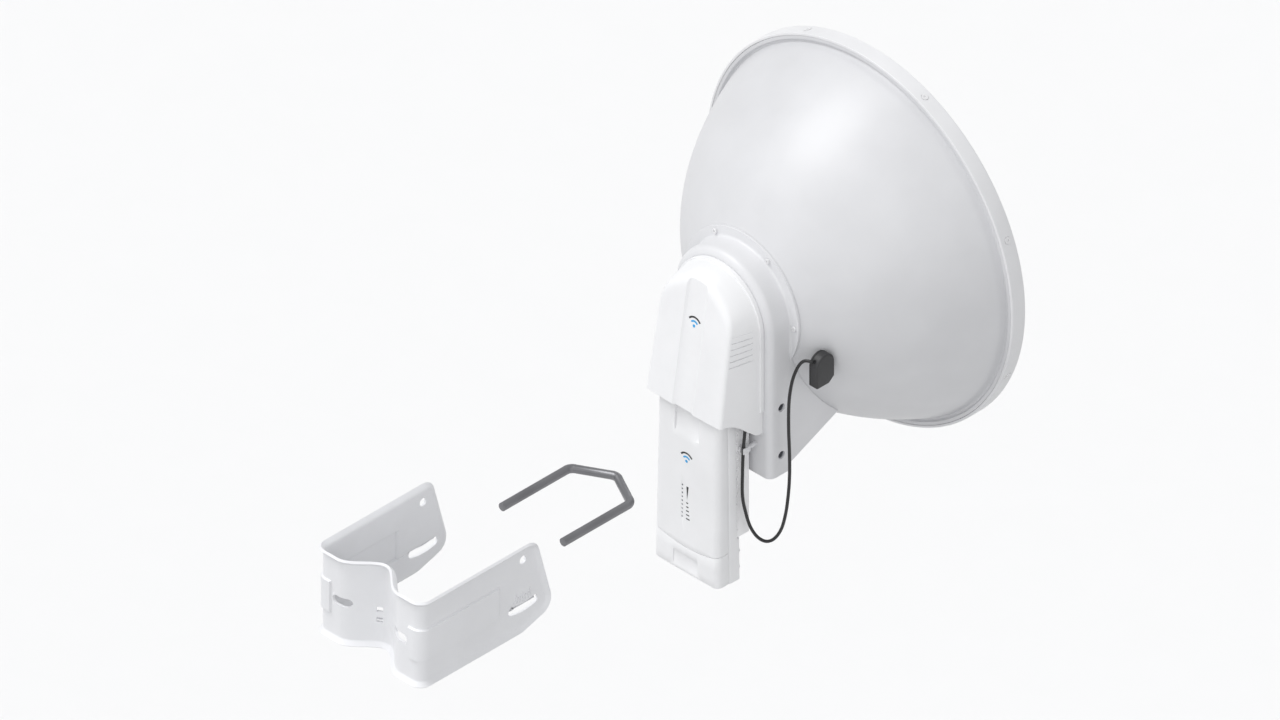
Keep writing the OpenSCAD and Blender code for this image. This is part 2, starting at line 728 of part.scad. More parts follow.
pole_bracket();
v_bolt();
pivot_inserts();
tilt_inserts();
reflector_shell();
front_radome();
rim_gasket();
rim_screws();
hub_frame();
hub_gasket();
hub_screws();
feed_coupler();
feed_tube();
feed_horn();
sub_reflector();
rf_pigtails();
rear_cover();
radio_front_shell();
radio_back_shell();
radio_gasket();
port_cap();
heat_sink();
thermal_pad();
radio_pcb();
rf_shield();
rf_connectors();
gps_connector();
data_port();
power_port();
light_pipes();
case_screws();
cable_clip();
gps_cable();
gps_plug();
gps_housing();
gps_base();
gps_board();
gps_pad();
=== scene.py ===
import math

import bmesh
import bpy
from mathutils import Matrix, Vector
from mathutils.geometry import convex_hull_2d


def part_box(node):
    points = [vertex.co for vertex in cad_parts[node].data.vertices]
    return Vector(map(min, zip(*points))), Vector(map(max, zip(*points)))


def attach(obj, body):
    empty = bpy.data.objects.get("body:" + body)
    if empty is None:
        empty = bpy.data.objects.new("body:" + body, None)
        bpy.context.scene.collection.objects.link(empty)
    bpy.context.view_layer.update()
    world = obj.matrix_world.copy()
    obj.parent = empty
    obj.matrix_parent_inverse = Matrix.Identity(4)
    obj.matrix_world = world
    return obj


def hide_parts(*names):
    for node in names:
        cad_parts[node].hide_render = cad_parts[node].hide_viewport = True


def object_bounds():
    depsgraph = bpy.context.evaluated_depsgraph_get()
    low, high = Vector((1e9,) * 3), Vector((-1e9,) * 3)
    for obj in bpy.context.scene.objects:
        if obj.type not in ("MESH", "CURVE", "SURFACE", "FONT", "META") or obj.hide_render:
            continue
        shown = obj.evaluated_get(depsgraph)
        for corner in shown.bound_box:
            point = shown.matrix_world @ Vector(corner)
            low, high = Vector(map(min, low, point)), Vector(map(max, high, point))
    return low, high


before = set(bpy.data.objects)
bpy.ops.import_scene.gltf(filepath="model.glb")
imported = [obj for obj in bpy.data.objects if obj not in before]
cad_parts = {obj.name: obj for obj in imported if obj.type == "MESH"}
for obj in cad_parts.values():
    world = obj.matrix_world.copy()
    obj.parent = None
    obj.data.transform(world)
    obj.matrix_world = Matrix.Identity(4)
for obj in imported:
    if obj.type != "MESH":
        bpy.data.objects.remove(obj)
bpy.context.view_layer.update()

MM = 0.001

# The antenna's own frame: its origin is where the boresight meets the rim's front plane.
rim_depth = 16.6
radome_lo, radome_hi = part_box("front_radome")
DISH = Vector((0, radome_lo[1] + rim_depth * MM, (radome_lo[2] + radome_hi[2]) / 2))


def dish(x, y, z):
    """A point in the antenna's frame, given in millimetres, in the model's metres."""
    return DISH + Vector((x, y, z)) * MM


# ---- Camera: the even three-way view from behind, right and above ----

view_width, aim_left, aim_down, view_distance = 1.117, 0.2033, 0.1199, 3
right = Vector((1, 1, 0)).normalized()
back = Vector((1, -1, 1)).normalized()
up = back.cross(right)
camera = bpy.data.objects.new("camera", bpy.data.cameras.new("camera"))
bpy.context.scene.collection.objects.link(camera)
camera.data.type = "ORTHO"
camera.data.ortho_scale = view_width
camera.data.clip_start, camera.data.clip_end = 0.01, 60
camera.rotation_mode = "QUATERNION"
camera.rotation_quaternion = (-back).to_track_quat("-Z", "Y")
camera.location = DISH - right * aim_left - up * aim_down + back * view_distance
bpy.context.scene.camera = camera
bpy.context.scene.view_settings.view_transform = "Standard"


# ---- Light and floor ----

def sun(name, towards_light, strength, spread):
    lamp = bpy.data.lights.new(name, "SUN")
    lamp.energy = strength
    lamp.angle = math.radians(spread)
    holder = bpy.data.objects.new(name, lamp)
    holder.rotation_mode = "QUATERNION"
    holder.rotation_quaternion = Vector(towards_light).to_track_quat("Z", "Y")
    bpy.context.scene.collection.objects.link(holder)


def studio_world():
    """A soft dome: brightest overhead, dimmer towards the ground."""
    world = bpy.data.worlds.new("studio")
    world.use_nodes = True
    tree = world.node_tree
    place = tree.nodes.new("ShaderNodeTexCoord")
    split = tree.nodes.new("ShaderNodeSeparateXYZ")
    height = tree.nodes.new("ShaderNodeMapRange")
    height.inputs["From Min"].default_value = -1
    shade = tree.nodes.new("ShaderNodeValToRGB")
    shade.color_ramp.elements.new(0.5)
    for stop, (level, bright) in zip(shade.color_ramp.elements, ((0, 0.44), (0.5, 0.6), (1, 0.62))):
        stop.position = level
        stop.color = (bright * 0.985, bright * 0.99, bright, 1)
    tree.links.new(place.outputs["Generated"], split.inputs["Vector"])
    tree.links.new(split.outputs["Z"], height.inputs["Value"])
    tree.links.new(height.outputs["Result"], shade.inputs["Fac"])
    tree.links.new(shade.outputs["Color"], tree.nodes["Background"].inputs["Color"])
    bpy.context.scene.world = world


studio_world()
sun("key", (-0.36, -0.34, 0.86), 1.6, 31)
sun("front", (0.1, -1.0, 0.1), 0.7, 90)
sun("far", (-0.5, 1.0, 0.12), 0.5, 40)
sun("side", (1.0, -0.4, 0.45), 0.44, 60)

floor_half, floor_drop = 30, 1.2
floor_mesh = bpy.data.meshes.new("floor")
corners = [(x * floor_half, y * floor_half, 0) for x, y in ((-1, -1), (1, -1), (1, 1), (-1, 1))]
floor_mesh.from_pydata(corners, [], [(0, 1, 2, 3)])
floor = bpy.data.objects.new("floor", floor_mesh)
floor.location.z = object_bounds()[0][2] - floor_drop
floor.visible_diffuse = False
bpy.context.scene.collection.objects.link(floor)


# ---- Materials ----

def node(tree, kind, **values):
    made = tree.nodes.new(kind)
    for name, value in values.items():
        made.inputs[name.replace("_", " ")].default_value = value
    return made


def surface(name, colour, rough, metallic=0.0, grain=1400, bump=0.06, spread=0.035, coat=0.0, fleck=0.06,
            subsurface=0.0):
    """A material with fine grain in its height, small changes of colour and changes of gloss."""
    made = bpy.data.materials.new(name)
    made.use_nodes = True
    tree = made.node_tree
    shader = tree.nodes["Principled BSDF"]
    shader.inputs["Metallic"].default_value = metallic
    shader.inputs["Coat Weight"].default_value = coat
    shader.inputs["Coat Roughness"].default_value = 0.25
    if subsurface:
        shader.inputs["Subsurface Weight"].default_value = subsurface
        shader.inputs["Subsurface Radius"].default_value = (0.002, 0.002, 0.002)
    place = tree.nodes.new("ShaderNodeTexCoord")
    wide = node(tree, "ShaderNodeTexNoise", Scale=22.0, Detail=4.0)
    fine = node(tree, "ShaderNodeTexNoise", Scale=float(grain), Detail=2.0)
    for texture in (wide, fine):
        tree.links.new(place.outputs["Object"], texture.inputs["Vector"])
    tint = tree.nodes.new("ShaderNodeValToRGB")
    tint.color_ramp.elements[0].position = 0.3
    tint.color_ramp.elements[1].position = 0.7
    tint.color_ramp.elements[0].color = [c * (1 - spread) for c in colour] + [1]
    tint.color_ramp.elements[1].color = [min(1, c * (1 + spread * 0.5)) for c in colour] + [1]
    tree.links.new(wide.outputs["Fac"], tint.inputs["Fac"])
    tree.links.new(tint.outputs["Color"], shader.inputs["Base Color"])
    gloss = node(tree, "ShaderNodeMapRange", To_Min=max(0.02, rough - fleck), To_Max=rough + fleck)
    tree.links.new(wide.outputs["Fac"], gloss.inputs["Value"])
    tree.links.new(gloss.outputs["Result"], shader.inputs["Roughness"])
    relief = node(tree, "ShaderNodeBump", Strength=bump, Distance=0.0002)
    tree.links.new(fine.outputs["Fac"], relief.inputs["Height"])
    tree.links.new(relief.outputs["Normal"], shader.inputs["Normal"])
    return made


WHITE = (0.86, 0.863, 0.875)
materials = {
    "bracket_paint": surface("bracket_paint", (0.805, 0.81, 0.83), 0.42, grain=700, bump=0.1, coat=0.15),
    "zinc_steel": surface("zinc_steel", (0.22, 0.22, 0.231), 0.39, metallic=0.75, grain=900, spread=0.12),
    "insert_steel": surface("insert_steel", (0.42, 0.43, 0.46), 0.35, metallic=0.9, spread=0.1),
    "dish_plastic": surface("dish_plastic", (0.655, 0.658, 0.675), 0.42, coat=0.17),
    "frame_plastic": surface("frame_plastic", (0.73, 0.733, 0.75), 0.45, bump=0.12, coat=0.15),
    "cover_plastic": surface("cover_plastic", WHITE, 0.4, coat=0.1),
    "radio_plastic": surface("radio_plastic", WHITE, 0.42, coat=0.1),
    "cap_plastic": surface("cap_plastic", WHITE, 0.42, coat=0.1),
    "seal_rubber": surface("seal_rubber", (0.05, 0.05, 0.055), 0.7, grain=600, bump=0.2),
    "screw_steel": surface("screw_steel", (0.8, 0.8, 0.81), 0.4, metallic=0.1, spread=0.08),
    "feed_aluminium": surface("feed_aluminium", (0.7, 0.7, 0.72), 0.3, metallic=1.0, spread=0.08),
    "feed_plastic": surface("feed_plastic", (0.75, 0.75, 0.73), 0.5),
    "lead_jacket": surface("lead_jacket", (0.35, 0.17, 0.07), 0.5),
    "sink_aluminium": surface("sink_aluminium", (0.93, 0.93, 0.94), 0.35, metallic=0.1, grain=500,
                              bump=0.12),
    "pad_gray": surface("pad_gray", (0.25, 0.26, 0.28), 0.8),
    "board_green": surface("board_green", (0.02, 0.12, 0.05), 0.4, coat=0.4),
    "shield_steel": surface("shield_steel", (0.66, 0.66, 0.67), 0.28, metallic=0.95),
    "connector_brass": surface("connector_brass", (0.75, 0.55, 0.22), 0.25, metallic=1.0),
    "socket_plastic": surface("socket_plastic", (0.12, 0.13, 0.15), 0.5),
    "lamp_plastic": surface("lamp_plastic", (0.16, 0.17, 0.19), 0.3, coat=0.3),
    "cable_black": surface("cable_black", (0.012, 0.012, 0.013), 0.45, grain=900, bump=0.1, spread=0.2),
    "receiver_plastic": surface("receiver_plastic", (0.028, 0.028, 0.03), 0.5, grain=900, bump=0.25,
                                spread=0.2),
    "patch_ceramic": surface("patch_ceramic", (0.6, 0.5, 0.36), 0.4),
    "pad_rubber": surface("pad_rubber", (0.03, 0.03, 0.032), 0.75, grain=500, bump=0.25),
    "radome_plastic": surface("radome_plastic", (0.76, 0.762, 0.775), 0.42, coat=0.15),
    "print_black": surface("print_black", (0.006, 0.006, 0.007), 0.35),
    "print_blue": surface("print_blue", (0.02, 0.35, 0.72), 0.35),
}
floor.data.materials.append(surface("floor", (0.82, 0.82, 0.821), 0.9, grain=30, bump=0.0, spread=0.004))


# ---- Making pieces ----

def solid(name, verts, faces, scaled=True):
    """A closed mesh from points in the antenna's frame in millimetres, or in metres if not scaled."""
    mesh = bpy.data.meshes.new(name)
    mesh.from_pydata([dish(*v) if scaled else v for v in verts], [], faces)
    made = bpy.data.objects.new(name, mesh)
    bpy.context.scene.collection.objects.link(made)
    shape = bmesh.new()
    shape.from_mesh(mesh)
    bmesh.ops.remove_doubles(shape, verts=shape.verts, dist=0.004 * MM)
    bmesh.ops.recalc_face_normals(shape, faces=shape.faces)
    shape.to_mesh(mesh)
    shape.free()
    return made


def piece(name, verts, faces, slot, body, smooth=38, stands_for=(), scaled=True):
    """A closed mesh that is a piece of the object as it is."""
    return finish_piece(solid(name, verts, faces, scaled), slot, body, smooth, stands_for)


def finish_piece(made, material, body, smooth=38, stands_for=()):
    """Shades a piece, gives it its material, ties it to its body, and hides the CAD nodes that it stands
    for.
    """
    soften(made, smooth)
    made.data.materials.clear()
    made.data.materials.append(materials[material])
    if body:
        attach(made, body)
    if stands_for:
        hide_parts(*stands_for)
    return made


def soften(made, degrees):
    """Smooth faces, with sharp edges where they meet at more than the angle."""
    mesh = made.data
    shape = bmesh.new()
    shape.from_mesh(mesh)
    limit = math.radians(degrees)
    for face in shape.faces:
        face.smooth = True
    for edge in shape.edges:
        edge.smooth = len(edge.link_faces) == 2 and edge.calc_face_angle(0) < limit
    shape.to_mesh(mesh)
    shape.free()


def apply_modifiers(made):
    """Replaces the piece's mesh by what its modifiers make of it."""
    result = bpy.data.meshes.new_from_object(made.evaluated_get(bpy.context.evaluated_depsgraph_get()))
    made.modifiers.clear()
    made.data = result


def bevel(made, width, angle=40, segments=3):
    change = made.modifiers.new("bevel", "BEVEL")
    change.width = width * MM
    change.segments = segments
    change.limit_method = "ANGLE"
    change.angle_limit = math.radians(angle)
    change.harden_normals = False
    apply_modifiers(made)


def combine(made, other, operation):
    """Adds, cuts or crosses the piece with another mesh, which is then removed."""
    change = made.modifiers.new("combine", "BOOLEAN")
    change.object = other
    change.operation = operation
    change.solver = "EXACT"
    apply_modifiers(made)
    bpy.data.objects.remove(other)


def tidy_mesh(made, merge=0.00002):
    """Joins doubled points and drops the flat leftovers that cutting makes."""
    shape = bmesh.new()
    shape.from_mesh(made.data)
    bmesh.ops.remove_doubles(shape, verts=shape.verts, dist=merge)
    bmesh.ops.dissolve_degenerate(shape, edges=shape.edges, dist=merge / 2)
    bmesh.ops.recalc_face_normals(shape, faces=shape.faces)
    shape.to_mesh(made.data)
    shape.free()


def loft(rings, closed=True, capped=True):
    """Points and faces of a skin over rings with the same number of points."""
    count = len(rings[0])
    verts = [p for ring in rings for p in ring]
    faces = []
    for i in range(len(rings) - 1):
        for k in range(count if closed else count - 1):
            n = (k + 1) % count
            faces.append((i * count + k, i * count + n, (i + 1) * count + n, (i + 1) * count + k))
    if capped:
        faces.append(tuple(range(count)))
        faces.append(tuple(range(len(verts) - 1, len(verts) - 1 - count, -1)))
    return verts, faces


def gather(skins):
    """Several skins, each of points and faces, as one."""
    verts, faces = [], []
    for points, sides in skins:
        faces += [tuple(k + len(verts) for k in side) for side in sides]
        verts += points
    return verts, faces


def prism(outline, axis, start, stop):
    """An outline of two coordinates made solid along the third; axis 0, 1 or 2 is X, Y or Z."""
    def at(p, depth):
        point = list(p)
        point.insert(axis, depth)
        return tuple(point)
    return loft([[at(p, start) for p in outline], [at(p, stop) for p in outline]])


def cut(made, shape, scaled=True):
    combine(made, solid("cutter", *shape, scaled=scaled), "DIFFERENCE")


def arc(cx, cy, r, start, stop, steps):
    """Points on an arc, angles in degrees."""
    angles = [math.radians(start + (stop - start) * i / steps) for i in range(steps + 1)]
    return [(cx + r * math.cos(a), cy + r * math.sin(a)) for a in angles]


def disc(cx, cy, r):
    """A whole circle of 24 points."""
    return arc(cx, cy, r, 0, 345, 23)


def revolve(profile, steps=256):
    """A closed profile of (radius, distance along) turned about the boresight."""
    count = len(profile)
    turns = [2 * math.pi * i / steps for i in range(steps)]
    verts = [(r * math.cos(a), y, r * math.sin(a)) for a in turns for r, y in profile]
    faces = []
    for i in range(steps):
        j = (i + 1) % steps
        for k in range(count):
            n = (k + 1) % count
            faces.append((i * count + k, i * count + n, j * count + n, j * count + k))
    return verts, faces


def refined(name, slot, width=0.4, smooth=38, body="antenna"):
    """A copy of a CAD node with its edges broken by a small round, which stands for the node."""
    made = bpy.data.objects.new(name + "_finished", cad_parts[name].data.copy())
    bpy.context.scene.collection.objects.link(made)
    tidy_mesh(made, 0.00001)
    if width:
        bevel(made, width)
    return finish_piece(made, slot, body, smooth, (name,))


# ---- Receiver's cable: the same route as the CAD's, in the antenna's frame ----

cable_d = 3
cable_route = [
    (27, -210, -18), (27, -210, -12), (29, -209, -6), (35, -207, -2), (41, -205, -7),
    (43, -203, -16), (43, -201, -40), (43, -200, -70), (43, -201, -100), (42, -202, -120),
    (42, -203, -145), (42, -203, -170), (43.5, -200, -190), (46, -197, -204), (50, -193, -214),
    (56, -189, -218), (62, -185, -215), (68, -182, -204), (72, -180.5, -188), (74.5, -179.5, -168),
    (75.5, -178.5, -145), (75.5, -178.5, -120), (75, -179, -96), (75, -179, -73),
    (75.5, -178, -56), (77, -175.5, -40), (79.5, -171.5, -28), (83, -168.5, -22.5),
    (88, -166.5, -21), (91, -165.2, -21.5)
]


def smooth_line(points, steps):
    """A smooth line through chosen points, each stretch split into the same number of steps."""
    line = []
    last = len(points) - 1
    for i in range(last):
        before, a, b, after = (Vector(points[min(max(i + j, 0), last)]) for j in (-1, 0, 1, 2))
        for k in range(steps):
            t = k / steps
            line.append((a * 2 + (b - before) * t + (before * 2 - a * 5 + b * 4 - after) * t * t
                         + (a * 3 - before - b * 3 + after) * t ** 3) / 2)
    return line + [Vector(points[-1])]


def make_cable():
    line = smooth_line(cable_route, 6)
    curve = bpy.data.curves.new("receiver_cable", "CURVE")
    curve.dimensions = "3D"
    curve.bevel_depth = cable_d / 2 * MM
    curve.bevel_resolution = 5
    curve.use_fill_caps = True
    spline = curve.splines.new("POLY")
    spline.points.add(len(line) - 1)
    for point, place in zip(spline.points, line):
        point.co = (*dish(*place), 1)
    spline.use_smooth = True
    cable = bpy.data.objects.new("receiver_cable", curve)
    bpy.context.scene.collection.objects.link(cable)
    curve.materials.append(materials["cable_black"])
    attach(cable, "antenna")
    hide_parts("gps_cable")


make_cable()


# ---- Dish ----

rim_r = 189
shell_wall = 2.2
dome_h = 9
bell_ends = ((69.9, -159.2), (146.4, -111.4), (179.6, -rim_depth))


def bell(t, inwards=0.0):
    """A point of the bell's profile, moved towards the inside by a distance."""
    a, b, c = (Vector(p) for p in bell_ends)
    along = ((b - a) * (1 - t) + (c - b) * t).normalized()
    place = a * (1 - t) ** 2 + b * 2 * t * (1 - t) + c * t * t
    return tuple(place + Vector((-along.y, along.x)) * inwards)


def quadratic(a, b, c, steps):
    return [tuple(Vector(a) * (1 - t) ** 2 + Vector(b) * 2 * t * (1 - t) + Vector(c) * t * t)
            for t in (i / steps for i in range(steps + 1))]


def make_dish():
    """The bell, a channel inside its rim, and the lip that the front cover is screwed to."""
    steps, outer_end, inner_end = 60, 0.977, 0.96
    outer = [bell(outer_end * i / steps) for i in range(steps + 1)]
    inner = [bell(inner_end * i / steps, shell_wall) for i in range(steps + 1)]
    mouth_r, hub_back, hub_front = 66, -159.2, -156.2
    bottom = (180.7, -14.4)
    channel = quadratic(outer[-1], (179.2, -14.6), bottom, 8)[1:]
    channel += quadratic(bottom, (182.2, -14.2), (183, -16.3), 8)[1:]
    profile = [(mouth_r, hub_back)] + outer + channel + [(183.4, -rim_depth)]
    profile += [(186.2, -rim_depth), (186.4, -rim_depth + 0.2), (186.4, -4), (184.2, -4), (184.2, -11.8)]
    profile += [(180.3, -12)] + inner[::-1] + [(mouth_r, hub_front)]
    verts, faces = revolve(profile)
    piece("dish_shell", verts, faces, "dish_plastic", "antenna", 30, ("reflector_shell",))


def make_radome():
    """Front cover: a low dome with a fine groove, and a rim band with a recess for each screw."""
    top = rim_r - 2
    steps = 24
    dome = [(top * i / steps, dome_h * (1 - (i / steps) ** 2)) for i in range(steps + 1)]
    groove_r, groove_w, groove_floor, groove_depth = 172, 1.1, 0.5, 0.7
    groove = [(groove_r + out, dome_h * (1 - ((groove_r + out) / top) ** 2) - depth)
              for out, depth in ((-groove_w, 0), (-groove_floor, groove_depth),
                                 (groove_floor, groove_depth), (groove_w, 0))]
    face = sorted([p for p in dome if abs(p[0] - groove_r) > 2 * groove_w] + groove)
    profile = face + arc(top, -2, 2, 80, 0, 6)
    profile += arc(rim_r - 0.7, -rim_depth + 0.7, 0.7, 0, -90, 4)
    profile += [(rim_r - 2.3, -rim_depth), (rim_r - 2.3, -2.9)]
    profile += [(max(r - 1.5, 0), y - 2.6) for r, y in dome[::-1]]
    made = solid("radome", *revolve(profile))
    recesses = []
    for i in range(8):
        turn = Matrix.Rotation(math.radians((i + 0.5) * 45), 3, "Y")
        recesses.append(loft([[turn @ Vector((x, y - rim_depth / 2, height)) for x, y in disc(0, 0, 3.5)]
                              for height in (rim_r - 0.8, rim_r + 3)]))
    cut(made, gather(recesses))
    finish_piece(made, "radome_plastic", "antenna", 30, ("front_radome",))


make_dish()
make_radome()


# ---- Rear cover ----

lean = math.tan(math.radians(8.9))
cover_front_r = 51.2
cover_back_half = 43.5
cover_foot = -82
cover_wall_t = 2.8
strip_half = 12.8
strip_depth = 1.7
cover_front = -187.3
lip_back = -191.5
lip_step = 1.5
# Outline of the cover's rear face at each 15 degrees of the arched frame behind it.
cover_corner = [(cover_back_half, 0), (42.8, 10), (40, 20.5), (33.2, 30.4), (23.6, 39), (13, 46), (0, 47.8)]


def cover_face(x, z):
    """How far back the cover's rear face lies: it leans and is a little crowned."""
    return -234.2 + (z + 80) * lean - 1.0 * (1 - (x / 45) ** 2)


def cover_rib(angle, z, shrink, lip):
    """One line of the cover from its front edge over the rounded corner to the middle of its back."""
    if angle is None:
        out = (cover_front_r - shrink, z)
        edge = (cover_back_half + 2.8 * z / -80 - shrink, z)
        rounding, spine = 3.6, (0, z)
    else:
        a = math.radians(angle)
        out = ((cover_front_r - shrink) * math.cos(a), (cover_front_r - shrink) * math.sin(a))
        place = smooth_line([(*p, 0) for p in cover_corner], 15)[round(angle)]
        edge = (max(place.x - shrink * math.cos(a), 0), place.y - shrink * math.sin(a))
        rounding = 3.6 + 6.5 * math.sin(a) ** 1.5
        spine = (0, 0)
    back_y = cover_face(*edge) + shrink
    corner = Vector((edge[0], back_y, edge[1]))
    start = Vector((out[0], lip_back, out[1]))
    inward = Vector((spine[0] - edge[0], 0, spine[1] - edge[1])).normalized()
    towards = (start - corner).normalized()
    rise = start + (corner - start) * 0.5 + Vector((out[0], 0, out[1] - spine[1])).normalized() * 0.8
    first = corner + towards * rounding
    sideways = Vector((out[0], 0, out[1] - spine[1])).normalized() * lip_step
    if not lip:
        sideways *= 0.01
    bare = Vector((out[0], 0, out[1]))
    points = [bare + sideways + Vector((0, y, 0)) for y in (cover_front, lip_back + 0.6)]
    points += [bare + sideways * share + Vector((0, lip_back, 0)) for share in (0.7, 0.1)]
    points += [start * (1 - t) ** 2 + rise * 2 * t * (1 - t) + first * t * t
               for t in (0, 0.2, 0.4, 0.6, 0.8, 1)]
    second = corner + inward * rounding
    second.y = cover_face(second.x, second.z) + shrink
    for i in range(1, 9):
        t = i / 8
        points.append(first * (1 - t) ** 2 + corner * 2 * t * (1 - t) + second * t * t)
    for i in range(1, 9):
        x = second.x + (spine[0] - second.x) * i / 8
        z_here = second.z + (spine[1] - second.z) * i / 8
        points.append(Vector((x, cover_face(x, z_here) + shrink, z_here)))
    return points


def cover_wall(y, z):
    """Half width of the cover's side at a place, from its ribs."""
    rib = cover_rib(None, min(z, 0), 0, False)[3:12]
    for a, b in zip(rib, rib[1:]):
        if b.y <= y:
            return a.x + (b.x - a.x) * (a.y - y) / (a.y - b.y)
    return rib[-1].x


def cover_solid(name, shrink):
    """The cover's outer form, or the room inside it when shrunk: ribs from the left leg over the arch."""
    lip = not shrink
    half = [cover_rib(None, z, shrink, False) for z in [*range(-112, -83, 4), cover_foot - 0.2]]
    half += [cover_rib(None, z, shrink, lip) for z in [cover_foot, *range(-80, 0, 4)]]
    half += [cover_rib(angle, 0, shrink, lip) for angle in range(0, 91, 3)]
    ribs = half + [[Vector((-p.x, p.y, p.z)) for p in rib] for rib in half[-2::-1]]
    count = len(ribs[0])
    verts = [tuple(p) for rib in ribs for p in rib]
    faces = []
    for i in range(len(ribs) - 1):
        for k in range(count - 1):
            a, b = i * count + k, (i + 1) * count + k
            faces.append((a, b, b + 1, a + 1))
    last = (len(ribs) - 1) * count
    faces.append(tuple(range(count)) + tuple(last + k for k in range(count - 2, -1, -1)))
    faces.append(tuple(i * count for i in range(len(ribs))))
    return solid(name, verts, faces)


def make_cover():
    made = cover_solid("rear_cover_shell", 0)
    combine(made, cover_solid("inside", cover_wall_t), "DIFFERENCE")
    # Below the foot only the two curved side tongues are left.
    foot = [(-260, cover_foot), (-231, cover_foot)]
    foot += quadratic((-228, cover_foot), (-218, -84), (-208, -94), 8)
    foot += [(-196, -104), (-192, -105.5), (-180, -106), (-180, -300), (-260, -300)]
    cut(made, prism(foot, 0, -90, 90))
    # Shallow strip down the back, with sloped sides.
    slope = 3.2
    rings = []
    for z in (-120, 70):
        y = cover_face(strip_half, z)
        rings.append([(-strip_half - 6, y - 4, z), (strip_half + 6, y - 4, z), (strip_half, y, z),
                      (strip_half - slope, y + strip_depth, z), (slope - strip_half, y + strip_depth, z),
                      (-strip_half, y, z)])
    cut(made, loft(rings))
    # Ventilation grooves on both sides, along the slope of the wall.
    vent_top, vent_pitch, vent_r, vent_depth = 7, 6, 0.6, 0.9
    vents = []
    for side in (-1, 1):
        for i in range(6):
            z = vent_top - i * vent_pitch
            outline = arc(cover_face(44, z) + 3.4, z, vent_r, 90, 270, 6)
            outline += arc(-198.6, z, vent_r, -90, 90, 6)
            vents.append(loft([[(side * (cover_wall(y, z) + out), y, height) for y, height in outline]
                               for out in (-vent_depth, 3)]))
    cut(made, gather(vents))
    tidy_mesh(made)
    finish_piece(made, "cover_plastic", "rear_cover", 28, ("rear_cover",))


make_cover()


# ---- Radio: front shell and port cap ----

radio_foot = -258.5
radio_split = -217.5
seam_r = 135
seam_z = -96
# Half width and back face at three heights, from the foot up.
radio_stations = [(radio_foot, 39.8, -231.5), (-92, 37.8, -229.1), (-34.2, 36.8, -220.5)]


radio_crown = 0.35


def radio_section(z, thin_x=0.0, thin_y=0.0, inset=0.0):
    """Section of the radio's rear part at a height: rounded rear corners, open at the parting line."""
    for low, high in zip(radio_stations, radio_stations[1:]):
        if z <= high[0]:
            share = max(0.0, (z - low[0]) / (high[0] - low[0]))
            half_w, rear = (low[i] + (high[i] - low[i]) * share for i in (1, 2))
            break
    half_w -= thin_x + inset
    rear += thin_y + inset
    r = 6 - min(thin_x, 3)
    outline = [(half_w, radio_split)]
    outline += [(x, y) for x, y in arc(half_w - r, rear + r, r, 0, -90, 10)]
    crown = [(half_w - r) * (1 - i / 5) for i in range(1, 10)]
    outline += [(x, rear - radio_crown * (1 - (x / (half_w - r)) ** 2)) for x in crown]
    outline += [(-x, y) for x, y in arc(half_w - r, rear + r, r, 0, -90, 10)[::-1]]
    outline += [(-half_w, radio_split)]
    return [(x, y, z) for x, y in outline]


def radio_back(z):
    """Rearmost point of the section at a height, which is on its middle line."""
    return radio_section(z)[15][1]


def radio_solid(name, thin_x=0.0, thin_y=0.0, thin_z=0.0):
    """The radio's whole rear part, rounded at its foot, or the room inside it when thinned."""
    foot = radio_foot + thin_z
    heights = [foot + 0.01, foot + 0.5, foot + 1.5, -250, -240, -225, -200, -175, -150, -120, -92, -70, -50]
    heights.append(-36 - thin_z)
    insets = [1.2, 0.45] + [0.0] * 12
    rings = [radio_section(z, thin_x, thin_y, inset) for z, inset in zip(heights, insets)]
    return solid(name, *loft(rings))


def seam_side(gap, above):
    """Everything on one side of the curved seam, as a thick plate."""
    reach = 60
    r = seam_r + gap
    spread = math.degrees(math.asin(reach / r))
    edge = [(x, z) for x, z in arc(0, seam_z, r, -90 - spread, -90 + spread, 48)]
    far = 20 if above else -300
    return prism(edge + [(reach, far), (-reach, far)], 1, -250, -190)


def barrel_recess(low, high, left, crest, right):
    """Finger recess, its floor bulging left of the middle and running out below; depths are at its top."""
    half_w, crest_x = 15, -6
    rings = []
    for z, share in ((low, 0), (low + 4, 0.8), (high, 1)):
        rear = radio_back(z) - 0.36
        floor = []
        for x in [half_w * (1 - i / 10) for i in range(21)]:
            edge, span = (right, half_w - crest_x) if x > crest_x else (left, half_w + crest_x)
            depth = crest + (edge - crest) * ((x - crest_x) / span) ** 2
            floor.append((x, rear - 0.05 + (depth + 0.4) * share))
        rings.append([(x, y, z) for x, y in [(-half_w, -245), (half_w, -245)] + floor])
    return loft(rings)


lamp_x, lamp_top, lamp_pitch, lamp_count = -4.7, -167, 4.17, 9


def make_radio():
    """The shell and the port cap are one hollow form, parted along the curved seam."""
    shell = radio_solid("radio_shell")
    combine(shell, radio_solid("inside", 2.0, 5.2, 3), "DIFFERENCE")
    cut(shell, seam_side(-0.2, False))
    cut(shell, barrel_recess(-115, -80, 1.6, 0.8, 3.6))
    cut(shell, gather(prism(disc(lamp_x, lamp_top - i * lamp_pitch, 1.0), 1, -240, -220)
                      for i in range(lamp_count)))
    tidy_mesh(shell)
    bevel(shell, 0.3, 50, 2)
    finish_piece(shell, "radio_plastic", "antenna", 30, ("radio_front_shell",))

    cap = radio_solid("cap_shell")
    combine(cap, radio_solid("inside", 2.0, 2.0, 2), "DIFFERENCE")
    cut(cap, seam_side(0.2, True))
    cut(cap, barrel_recess(-256.5, -239.5, 1.0, 0.6, 1.6))
    tidy_mesh(cap)
    bevel(cap, 0.3, 50, 2)
    finish_piece(cap, "cap_plastic", "port_cap", 30, ("port_cap",))


make_radio()


# ---- Pole bracket, in the model's own frame: origin where the pole meets the web ----

